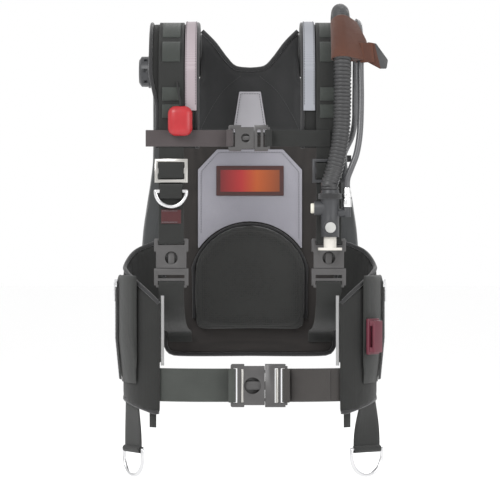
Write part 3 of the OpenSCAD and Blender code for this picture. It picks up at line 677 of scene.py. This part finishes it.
label_rubber, tree, shader = plain("label_rubber", (0.5, 0.1, 0.03), 0.45)
place = tree.nodes.new("ShaderNodeTexCoord")
split = tree.nodes.new("ShaderNodeSeparateXYZ")
spread = tree.nodes.new("ShaderNodeMapRange")
spread.inputs["From Min"].default_value = -0.046
spread.inputs["From Max"].default_value = 0.046
ramp = tree.nodes.new("ShaderNodeValToRGB")
ramp.color_ramp.elements[0].color = (0.17, 0.012, 0.014, 1)
ramp.color_ramp.elements[1].color = (0.20, 0.045, 0.01, 1)
middle = ramp.color_ramp.elements.new(0.36)
middle.color = (0.42, 0.022, 0.022, 1)
bright = ramp.color_ramp.elements.new(0.62)
bright.color = (0.44, 0.085, 0.012, 1)
grain = tree.nodes.new("ShaderNodeTexNoise")
grain.inputs["Scale"].default_value = 260
pimple = tree.nodes.new("ShaderNodeBump")
pimple.inputs["Strength"].default_value = 0.15
pimple.inputs["Distance"].default_value = 0.0004
tree.links.new(place.outputs["Object"], split.inputs["Vector"])
tree.links.new(split.outputs["X"], spread.inputs["Value"])
tree.links.new(spread.outputs["Result"], ramp.inputs["Fac"])
tree.links.new(ramp.outputs["Color"], shader.inputs["Base Color"])
tree.links.new(place.outputs["Object"], grain.inputs["Vector"])
tree.links.new(grain.outputs["Fac"], pimple.inputs["Height"])
tree.links.new(pimple.outputs["Normal"], shader.inputs["Normal"])
frame_rubber = moulded("frame_rubber", (0.05, 0.014, 0.012), 0.5, 300)
label = rounded_part("badge_label", frame_rubber, 0.0009)
label.data.materials.append(label_rubber)
only(label)
bpy.ops.object.mode_set(mode="EDIT")
bpy.ops.mesh.select_all(action="DESELECT")
bpy.ops.object.mode_set(mode="OBJECT")
front_face = max((f for f in label.data.polygons if f.normal.y < -0.9), key=lambda f: f.area)
front_face.select = True
bpy.ops.object.mode_set(mode="EDIT")
bpy.ops.mesh.inset(thickness=0.0055, depth=-0.0009)
bpy.ops.object.mode_set(mode="OBJECT")
for face in label.data.polygons:
    if face.select:
        face.material_index = 1

tab_felt = woven_cloth("tab_felt", (0.42, 0.41, 0.44), 0.0011, 0.3, 0.9, (0.5, 0.49, 0.52), 0.15)
rounded_part("neck_tab", tab_felt, 0.0014)
tab_corners = [(-0.0235, -0.1266, 0.0915), (-0.0145, -0.1266, 0.1485), (0.0145, -0.1266, 0.1485),
               (0.0235, -0.1266, 0.0915), (-0.0235, -0.1266, 0.0915)]
walked = []
for a, b in zip(tab_corners, tab_corners[1:]):
    a, b = Vector(a), Vector(b)
    steps = max(2, int((b - a).length / 0.004))
    walked += [a.lerp(b, k / steps) for k in range(steps)]
sewn_line("tab_seam", walked, "harness", dark_thread)


# ---- Grab handle ----
# A short loop of webbing behind the collar to lift the vest by.
handle_route = smooth_route([(-0.061, -0.1067, 0.173), (-0.054, -0.1064, 0.173), (-0.047, -0.1, 0.173),
                             (-0.036, -0.0968, 0.173), (0, -0.0962, 0.173), (0.036, -0.0968, 0.173),
                             (0.047, -0.1, 0.173), (0.054, -0.1064, 0.173), (0.061, -0.1067, 0.173)], 0.004)
handle = lay_strap("grab_handle_strap", handle_route, (0, 0, 1), 0.02, 0.0025, harness_black, "harness")
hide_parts("grab_handle")


# ---- Shoulder pads ----
# Two foam arches in black nylon, piped along both edges, each with a grey strip sewn on
# beside the webbing: warm grey on the right, cool grey on the left.
arch_y, arch_z = -0.192, 0.169


def over_shoulder(x, radius, behind, low):
    """From behind the top of the arch, over the shoulder, down the front to height low."""
    bend = [Vector((x, arch_y - radius * math.cos(math.radians(a)),
                    arch_z + radius * math.sin(math.radians(a))))
            for a in range(behind, 0, -5)]
    steps = max(2, round((arch_z - low) / 0.006))
    return bend + [Vector((x, arch_y - radius, arch_z + (low - arch_z) * k / steps))
                   for k in range(steps + 1)]


pad_cloth = woven_cloth("pad_cloth", (0.006, 0.0063, 0.0058), 0.001, 0.4, 0.9, (0.017, 0.0175, 0.0165), 0.1)
warm_grey = woven_cloth("warm_grey", (0.34, 0.29, 0.31), 0.001, 0.3, 0.9, (0.47, 0.41, 0.43), 0.1)
cool_grey = woven_cloth("cool_grey", (0.29, 0.30, 0.33), 0.001, 0.3, 0.9, (0.40, 0.41, 0.44), 0.1)
for hand, side, strip in (("left", 1, cool_grey), ("right", -1, warm_grey)):
    stuffed(
        f"shoulder_pad_{hand}", pad_cloth, 0.005, 0.002, 0.0035,
        lambda p: near_line(abs(p.x), [0.1, 0.139], 0.003),
    )
    for place, x in (("inner", 0.0795), ("outer", 0.1505)):
        edge = over_shoulder(side * x, 0.0825, 175, 0.056)
        for q in edge:
            narrowing = max(0, min(1, (0.167 - q.z) / 0.047)) if q.y < -0.24 and x > 0.1 else 0
            q.x -= side * 0.01 * narrowing
        tube(f"pad_piping_{place}_{hand}", edge, 0.0028, binding, "harness", 8)
    inlay = lay_strap(f"shoulder_inlay_{hand}", over_shoulder(side * 0.0895, 0.0852, 86, 0.113), (1, 0, 0),
                      0.0175, 0.002, strip, "harness")
    for x in (0.0822, 0.0968):
        sewn_line(f"inlay_seam_{hand}_{round(x * 1e4)}", over_shoulder(side * x, 0.0863, 84, 0.116),
                  "harness", dark_thread)
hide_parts("shoulder_inlays")


# ---- Shoulder webbing, sliders, chest ring and buckles ----
# 38 mm webbing over each pad, with a daisy chain, a slider and a side-release buckle;
# the right slider is steel and the left black nylon, and the right strap also holds a D-ring.
def turned_bar(x, y_bar, z_bar, half, reach_up, reach_down):
    """Route of webbing round a buckle's bar: main layer in front, the turn, a short tail behind."""
    front, back = y_bar - half, y_bar + half
    route = [(x, front, z_bar + reach_up), (x, front, z_bar), (x, front + 0.0008, z_bar - reach_down),
             (x, y_bar, z_bar - reach_down - 0.0016), (x, back - 0.0008, z_bar - reach_down),
             (x, back, z_bar), (x, back, z_bar + 0.005)]
    return smooth_route(route, 0.0015)


web_mid = -0.27725
loop_half = 0.0059 + 0.0003 + 0.00125
buckle_mid = web_mid + loop_half
daisy_green = webbing("daisy_green", (0.022, 0.027, 0.023), (0.065, 0.075, 0.066), 0.0019)
for hand, side in (("left", 1), ("right", -1)):
    x = side * 0.119
    main = over_shoulder(x, 0.08525, 73, -0.075)
    turn = turned_bar(x, buckle_mid, -0.082, loop_half, 0.0, 0.0042)
    straps = lay_strap(f"shoulder_web_{hand}", main[:-1] + turn, (1, 0, 0), 0.038, 0.0025,
                       harness_black, "harness")
    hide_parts(f"shoulder_webbing_{hand}")
    glide = smooth_route([(x, -0.2792, 0.0322), (x, -0.2815, 0.0325), (x, -0.2832, 0.0315),
                          (x, -0.2834, 0.022), (x, -0.2832, 0.0125), (x, -0.2815, 0.0115),
                          (x, -0.2792, 0.0118)], 0.0015)
    lay_strap(f"slider_turn_{hand}", glide, (1, 0, 0), 0.0375, 0.0022, harness_black,
                      "harness")
    for n, (top, low) in enumerate(((68, 40), (34, 12))):
        bow = [Vector((x, arch_y - (0.0872 + 0.0022 * math.sin(math.pi * k / 8)) * math.cos(a),
                       arch_z + (0.0872 + 0.0022 * math.sin(math.pi * k / 8)) * math.sin(a)))
               for k in range(9) for a in [math.radians(top + (low - top) * k / 8)]]
        lay_strap(f"daisy_loop_{hand}_{n}", bow, (1, 0, 0), 0.027, 0.0018, daisy_green, "harness")
    for n, z in enumerate((0.148, 0.122)):
        bow = [Vector((x, -0.2792 - 0.0022 * math.sin(math.pi * k / 6), z - 0.02 * k / 6)) for k in range(7)]
        lay_strap(f"daisy_tab_{hand}_{n}", bow, (1, 0, 0), 0.027, 0.0018, daisy_green, "harness")
maroon_tag = webbing("maroon_tag", (0.05, 0.006, 0.008), (0.12, 0.02, 0.022), 0.0014)
tag = lay_strap("strap_tag", [(-0.119, -0.279, -0.0365 - 0.0035 * k) for k in range(7)],
                (1, 0, 0), 0.03, 0.0014, maroon_tag, "harness")
for z in (-0.0385, -0.0555):
    sewn_line(f"tag_seam_{round(-z * 1e4)}",
              [(-0.132, -0.2798, z), (-0.119, -0.2798, z), (-0.106, -0.2798, z)],
              "harness", pale_thread, 0.0016, 0.0008)
slider_steel = brushed("slider_steel", (0.42, 0.41, 0.39), 0.3, (14, 1, 1))
sliders = rounded_part("strap_sliders", slider_steel, 0.0007)
sliders.data.materials.append(black_nylon)
for face in sliders.data.polygons:
    if face.center.x > 0:
        face.material_index = 1
ring_keeper = smooth_route([(-0.119, -0.2797, -0.0005), (-0.119, -0.2822, 0.0008), (-0.119, -0.286, -0.0018),
                            (-0.119, -0.2888, -0.009), (-0.119, -0.286, -0.0162), (-0.119, -0.2822, -0.0188),
                            (-0.119, -0.2797, -0.0175)], 0.0015)
lay_strap("ring_keeper", ring_keeper, (1, 0, 0), 0.034, 0.0022, harness_black, "harness")
rounded_part("chest_ring", drawn_steel, 0.0001, 80)
buckle_nylon = moulded("buckle_nylon", (0.05, 0.048, 0.048), 0.36)
plug_nylon = moulded("plug_nylon", (0.05, 0.048, 0.048), 0.34)
for node in ("shoulder_sockets", "sternum_socket", "waist_socket"):
    rounded_part(node, buckle_nylon, 0.0008)
for node in ("shoulder_plug_left", "shoulder_plug_right", "sternum_plug", "waist_plug"):
    rounded_part(node, plug_nylon, 0.0007)


# ---- Lower straps ----
# From each shoulder buckle round the wearer's side to the bottom of the back panel.
# They are laid in place and attached to no body.
for hand, side in (("left", 1), ("right", -1)):
    x = side * 0.119
    turn = [Vector((q.x, q.y, -0.1505 - (q.z + 0.1505))) for q in
            turned_bar(x, buckle_mid, -0.1505, loop_half, 0.0, 0.0036)]
    path = smooth_route([(x, web_mid, -0.153), (x, web_mid, -0.168), (side * 0.1185, -0.272, -0.184),
                         (side * 0.117, -0.246, -0.206), (side * 0.114, -0.2, -0.219),
                         (side * 0.112, -0.156, -0.223), (side * 0.111, -0.13, -0.227),
                         (side * 0.111, -0.1215, -0.242)], 0.005)
    strap = lay_strap(f"lower_web_{hand}", list(reversed(turn))[:-1] + path, (1, 0, 0), 0.038, 0.0025,
                      harness_black, None)
    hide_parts(f"lower_strap_{hand}")
    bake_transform(strap)


# ---- Sternum strap ----
# 25 mm webbing across the chest: warm grey from the right shoulder, black from the left.
stern_mid_y, stern_z = -0.2795, 0.071
stern_buckle_y = stern_mid_y - (0.00525 + 0.0003 + 0.001)
warm_web = webbing("warm_web", (0.045, 0.036, 0.037), (0.12, 0.098, 0.10), 0.0016)


def turned_bar_x(bar, half, y_mid, z, out):
    """Plan route of webbing round an upright bar at x = bar, leading away to the side out."""
    back, front = y_mid + half, y_mid - half
    return [(bar + out * 0.006, back, z), (bar, back, z), (bar - out * 0.0034, back - 0.0009, z),
            (bar - out * 0.0048, y_mid, z), (bar - out * 0.0034, front + 0.0009, z), (bar, front, z),
            (bar + out * 0.005, front, z)]


right_route = smooth_route(
    [(-0.1575, stern_mid_y, stern_z), (-0.12, stern_mid_y, stern_z), (-0.08, stern_mid_y, stern_z),
     (-0.045, stern_mid_y, stern_z)] + turned_bar_x(-0.0305, 0.00655, stern_buckle_y, stern_z, -1), 0.002)
right = lay_strap("sternum_web_right", right_route, (0, 0, 1), 0.025, 0.002, warm_web, "harness")
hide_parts("sternum_strap_right")
left_route = smooth_route(
    [(0.1215, stern_mid_y, stern_z), (0.09, stern_mid_y, stern_z), (0.06, stern_mid_y, stern_z),
     (0.042, stern_mid_y, stern_z)] + turned_bar_x(0.028, 0.00655, stern_buckle_y, stern_z, 1), 0.002)
left = lay_strap("sternum_web_left", left_route, (0, 0, 1), 0.025, 0.002, harness_black, None)
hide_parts("sternum_strap_left")
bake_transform(left)


# ---- Dump valves, cord and knobs ----
# Screwed-in dump valves at the right shoulder and low on the back, with a red pull knob on a cord.
rounded_part("dump_valves", black_nylon, 0.0009)
rounded_part("rear_dump_knob", black_nylon, 0.0002, 80)
cord_black, _, _ = plain("cord_black", (0.012, 0.012, 0.012), 0.8)
cord_route = smooth_route([(-0.105, -0.2915, 0.099), (-0.105, -0.2915, 0.127), (-0.107, -0.2875, 0.136),
                           (-0.109, -0.2836, 0.148), (-0.110, -0.2801, 0.156)], 0.002)
cord = tube("dump_cord_braid", cord_route, 0.0015, cord_black, "harness", 8)
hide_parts("dump_cord")
knob_red = moulded("knob_red", (0.30, 0.008, 0.012), 0.28, 500, 0.03)
rounded_part("dump_knob", knob_red, 0.0002, 80)


# ---- Hoses ----
# A corrugated rubber hose from the air cell over the left shoulder to the inflator, the thinner
# low-pressure hose beside it, and the rust-coloured cover that holds both to the pad.
def hose_over(x, angles, radius=0.1006):
    return [(x, arch_y + radius * math.cos(math.radians(a)), arch_z + radius * math.sin(math.radians(a)))
            for a in angles]


hose_rubber = moulded("hose_rubber", (0.028, 0.028, 0.029), 0.38, 260, 0.1)
big_route = smooth_route(
    [(0.131, -0.091, 0.2151), (0.131, -0.091, 0.2181), (0.131, -0.091, 0.2215), (0.1318, -0.093, 0.23),
     (0.135, -0.101, 0.238)]
    + hose_over(0.139, range(58, 179, 12))
    + [(0.139, -0.294, 0.12), (0.136, -0.298, 0.07), (0.1275, -0.302, 0.027), (0.12, -0.303, 0.004),
       (0.12, -0.303, -0.002), (0.12, -0.303, -0.0079)], 0.0011)


def ridges(along):
    """Each ridge is 5.5 mm long, round on top with a narrow root."""
    return 0.0108 + 0.0026 * abs(math.sin(math.pi * along / 0.0055)) ** 0.6


big_hose = tube("corrugated_hose_ribbed", big_route, ridges, hose_rubber, "harness", 24)
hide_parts("corrugated_hose")
lp_route = smooth_route(
    [(0.145, -0.303, -0.004), (0.146, -0.303, 0.01), (0.152, -0.303, 0.026), (0.16, -0.301, 0.048),
     (0.165, -0.297, 0.08), (0.167, -0.288, 0.125)] + hose_over(0.167, range(180, -1, -15), 0.088)
    + [(0.167, -0.092, 0.136), (0.167, -0.078, 0.108), (0.163, -0.062, 0.084), (0.153, -0.056, 0.062),
       (0.145, -0.054, 0.04), (0.14, -0.054, 0.016)], 0.005)
lp_rubber = moulded("lp_rubber", (0.07, 0.07, 0.074), 0.25, 300, 0.05)
thin_hose = tube("lp_hose_smooth", lp_route, 0.00475, lp_rubber, "harness", 16)
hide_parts("lp_hose")
rounded_part("hose_port", black_nylon, 0.0008)
rust_cloth = woven_cloth("rust_cloth", (0.055, 0.017, 0.009), 0.0011, 0.5, 0.8, (0.17, 0.05, 0.018), 0.15)
rounded_part("elbow_cover", rust_cloth, 0.003)
tab = rounded_part("hose_tab", hose_rubber, 0.0015)
tab.data.materials.append(rust_cloth)
only(tab)
bpy.ops.object.mode_set(mode="EDIT")
bpy.ops.mesh.select_all(action="SELECT")
bpy.ops.mesh.bisect(plane_co=(0.1935, -0.28, 0.19), plane_no=(1, 0, 0.25))
bpy.ops.object.mode_set(mode="OBJECT")
for face in tab.data.polygons:
    if face.center.x + 0.25 * (face.center.z - 0.19) < 0.1935:
        face.material_index = 1
flap = lay_strap("cover_flap", [(0.1645, -0.2835, 0.2), (0.172, -0.2852, 0.2), (0.18, -0.2852, 0.2),
                                (0.186, -0.2848, 0.2)], (-0.12, 0, 1), 0.03, 0.0018, rust_cloth, "harness")
chrome = brushed("chrome_fitting", (0.8, 0.8, 0.8), 0.14, (1, 1, 1))
rounded_part("lp_fittings", chrome, 0.0006)


# ---- Inflator ----
# The moulded inflator with its two buttons and mouthpiece, held to the webbing by a keeper.
rounded_part("inflator_body", black_nylon, 0.0009)
pale_button = moulded("pale_button", (0.62, 0.6, 0.52), 0.3, 500, 0.03)
rounded_part("inflate_button", pale_button, 0.0008)
grey_button = moulded("grey_button", (0.34, 0.34, 0.33), 0.3, 500, 0.03)
rounded_part("deflate_button", grey_button, 0.0008)
mouth_rubber = moulded("mouth_rubber", (0.5, 0.48, 0.44), 0.5, 300, 0.06)
rounded_part("mouthpiece", mouth_rubber, 0.0007)
rounded_part("hose_keepers", binding, 0.0006)


# ---- Wings and pockets ----
# Padded cummerbund wings that wrap the wearer's waist, grey-piped along the front edge,
# each with a zipped pocket on its outside.
wing_x, wing_y = 0.098, -0.21
wing_mid_r = 0.094


def on_wing(side, radius, angle, z):
    """A point on a wing's curve, from its axis; the angle is from the outward direction."""
    a = math.radians(angle)
    return Vector((side * (wing_x + radius * math.cos(a)), wing_y + radius * math.sin(a), z))


wing_cloth = woven_cloth("wing_cloth", (0.0082, 0.0084, 0.0078), 0.001, 0.45, 0.88,
                         (0.023, 0.024, 0.022), 0.13)
grey_piping = woven_cloth("grey_piping", (0.3, 0.3, 0.3), 0.0007, 0.4, 0.8, (0.42, 0.42, 0.42))
pocket_cloth = woven_cloth("pocket_cloth", (0.013, 0.014, 0.013), 0.0012, 0.45, 0.86,
                           (0.036, 0.038, 0.035), 0.2)
zip_turn = -14
handle_turn = -38
side_top = [(-0.127, -0.0835), (-0.16, -0.0992), (-0.205, -0.1212), (-0.24, -0.1322), (-0.27, -0.1472),
            (-0.2888, -0.1655), (-0.2955, -0.178)]
side_low = [(-0.2955, -0.341), (-0.29, -0.3405), (-0.25, -0.3285), (-0.2, -0.3205), (-0.15, -0.2905),
            (-0.128, -0.2775)]
for hand, side in (("left", 1), ("right", -1)):
    body = f"wing_{hand}"
    stuffed(
        f"wing_{hand}", wing_cloth, 0.0045, 0.0012, 0.0025,
        lambda p: near_line(p.z, [-0.19, -0.255, -0.272, -0.328], 0.003)
        or near_line(math.degrees(math.atan2(p.y - wing_y, abs(p.x) - wing_x)), [-63], 2),
        14,
    )
    def edge_point(y, z):
        """The middle of the wing's edge at a depth and a height."""
        reach = max(-0.0925, min(0.0925, y - wing_y))
        return on_wing(side, wing_mid_r, math.degrees(math.asin(reach / wing_mid_r)), z)
    top = smooth_route([edge_point(y, z) for y, z in side_top], 0.006)
    low = smooth_route([edge_point(y, z) for y, z in side_low], 0.006)
    front = smooth_route([on_wing(side, 0.0905, -68.3, -0.166), on_wing(side, 0.0905, -68.3, -0.22),
                          on_wing(side, 0.0905, -68.3, -0.271)], 0.006)
    tube(f"wing_top_piping_{hand}", top, 0.0032, binding, body, 8)
    tube(f"wing_low_piping_{hand}", low, 0.0032, binding, body, 8)
    tube(f"wing_front_piping_{hand}", front, 0.0024, grey_piping, body, 8)
    stuffed(f"pocket_{hand}", pocket_cloth, 0.0045, 0.0015, 0.004,
            lambda p: near_line(math.degrees(math.atan2(p.y - wing_y, abs(p.x) - wing_x)), [-38, -14], 2)
            or near_line(p.z, [-0.158], 0.003), 14, evening=8)

    def pocket_face(z, proud):
        """Radius of the pocket's outer face at a height, plus what a piece stands proud of it."""
        return 0.108 + proud - 0.007 * max(0, (-0.232 - z) / 0.071)
    heights = [-0.145 - 0.15 * k / 40 for k in range(41)]
    lean = Vector((side * math.sin(math.radians(-zip_turn)), math.cos(math.radians(-zip_turn)), 0))
    tape_route = [on_wing(side, pocket_face(z, 0.0008), zip_turn, z) for z in heights]
    lay_strap(f"zip_tape_{hand}", tape_route, lean, 0.014, 0.0012, harness_black, body, 2)
    teeth_route = [on_wing(side, pocket_face(z, 0.0016), zip_turn, z) for z in heights]
    sewn_line(f"zip_teeth_{hand}", teeth_route, body, black_nylon, 0.0012, 0.0008, 0.0016)
rounded_part("zip_pull_left", drawn_steel, 0.0004)
rounded_part("zip_pull_right", drawn_steel, 0.0004)
handle_red = moulded("handle_red", (0.085, 0.007, 0.018), 0.45, 500, 0.1)
rounded_part("ripcord_handle", handle_red, 0.001)
lanyard = lay_strap("ripcord_lanyard",
                    [on_wing(1, 0.1035 + 0.0009 * k, handle_turn, -0.228) for k in range(9)],
                    (0, 0, 1), 0.02, 0.0018, harness_black, None, 2)
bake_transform(lanyard)


# ---- Waist strap ----
# 50 mm webbing sewn inside each wing and closed in front by the large buckle.
belt_green = webbing("belt_green", (0.034, 0.039, 0.034), (0.085, 0.094, 0.084), 0.002)
belt_brown = webbing("belt_brown", (0.03, 0.026, 0.024), (0.07, 0.063, 0.058), 0.002)
belt_r = 0.08875
flat_x = 0.062
belt_end_x = wing_x + belt_r * math.cos(math.radians(-68))
belt_end_y = wing_y + belt_r * math.sin(math.radians(-68))
corner_r = (belt_end_x - flat_x) / math.sin(math.radians(22))
belt_front = belt_end_y - corner_r * (1 - math.cos(math.radians(22)))
belt_z = -0.3
belt_buckle = belt_front - (0.0065 + 0.0003 + 0.00125)
for hand, side, finish, bar in (("left", 1, belt_brown, 0.054), ("right", -1, belt_green, 0.027)):
    inner = [on_wing(side, belt_r, a, belt_z) for a in range(-42, -68, -4)]
    bend = [Vector((side * (flat_x + corner_r * math.sin(math.radians(a))),
                    belt_front + corner_r * (1 - math.cos(math.radians(a))), belt_z))
            for a in (22, 18, 14, 10, 6, 2)]
    turn = [Vector((side * q[0], q[1], q[2])) for q in turned_bar_x(bar, 0.00805, belt_buckle, belt_z, 1)]
    route = smooth_route(inner + bend + turn, 0.003)
    strap = lay_strap(f"waist_web_{hand}", route, (0, 0, 1), 0.05, 0.0025, finish, f"wing_{hand}", 6)
    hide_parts(f"waist_strap_{hand}")
    tail = [on_wing(side, 0.0865, -56, -0.3 - 0.065 * k / 8) for k in range(9)]
    lean = Vector((side * math.sin(math.radians(56)), math.cos(math.radians(56)), 0))
    lay_strap(f"wing_tail_{hand}", tail, lean, 0.012, 0.0018, harness_black,
                      f"wing_{hand}", 2)
free_end = [Vector((flat_x + (corner_r + 0.0025) * math.sin(math.radians(a)),
                    belt_front - 0.0025 + (corner_r + 0.0025) * (1 - math.cos(math.radians(a))), belt_z))
            for a in range(0, 19, 2)]
lay_strap("waist_free_end", free_end, (0, 0, 1), 0.048, 0.0024, belt_brown, "wing_left", 6)
for name, x, body in (("buckle_bar_right", -0.0115, "wing_right"), ("buckle_bar_left", 0.0405, "wing_left")):
    bpy.ops.object.select_all(action="DESELECT")
    bpy.ops.mesh.primitive_cylinder_add(vertices=16, radius=0.0022, depth=0.05,
                                        location=(x, belt_buckle - 0.0066, belt_z))
    bar = bpy.context.object
    bar.name = name
    bpy.ops.object.transform_apply(location=True, rotation=True, scale=True)
    ends = bar.modifiers.new("ends", "BEVEL")
    ends.width = 0.0008
    ends.segments = 2
    bpy.ops.object.modifier_apply(modifier=ends.name)
    bpy.ops.object.shade_smooth_by_angle(angle=math.radians(40))
    bar.data.materials.append(slider_steel)
    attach(bar, body)


# ---- Hip straps and rings ----
# 50 mm webbing sewn inside each wing, turned to face forward and folded round a steel D-ring.
for hand, side, yaw in (("left", 1, 35), ("right", -1, 58)):
    wide = Vector((side * math.cos(math.radians(yaw)), math.sin(math.radians(yaw)), 0))
    face = Vector((side * math.sin(math.radians(yaw)), -math.cos(math.radians(yaw)), 0))
    sewn_wide = Vector((side * math.sin(math.radians(22)), math.cos(math.radians(22)), 0))
    centre = Vector((side * 0.178, -0.238, -0.401))
    route, widths = [], []
    for k in range(15):
        share = k / 14
        ease = share * share * (3 - 2 * share)
        top = on_wing(side, 0.0885, -22, -0.3)
        place = Vector((top.x + (centre.x - top.x) * ease, top.y + (centre.y - top.y) * ease,
                        -0.3 - 0.0935 * share))
        route.append(place)
        widths.append(sewn_wide.lerp(wide * (1 if sewn_wide.dot(wide) > 0 else -1), ease).normalized())
    for a in range(90, -260, -20):
        route.append(centre + 0.0044 * (face * math.cos(math.radians(a))
                                        + Vector((0, 0, math.sin(math.radians(a))))))
        widths.append(widths[-1])
    strap = lay_strap(f"hip_web_{hand}", route, widths, 0.05, 0.0022, harness_black, f"wing_{hand}", 6)
    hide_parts(f"hip_strap_{hand}")
    rounded_part(f"hip_ring_{hand}", drawn_steel, 0.0001, 80)
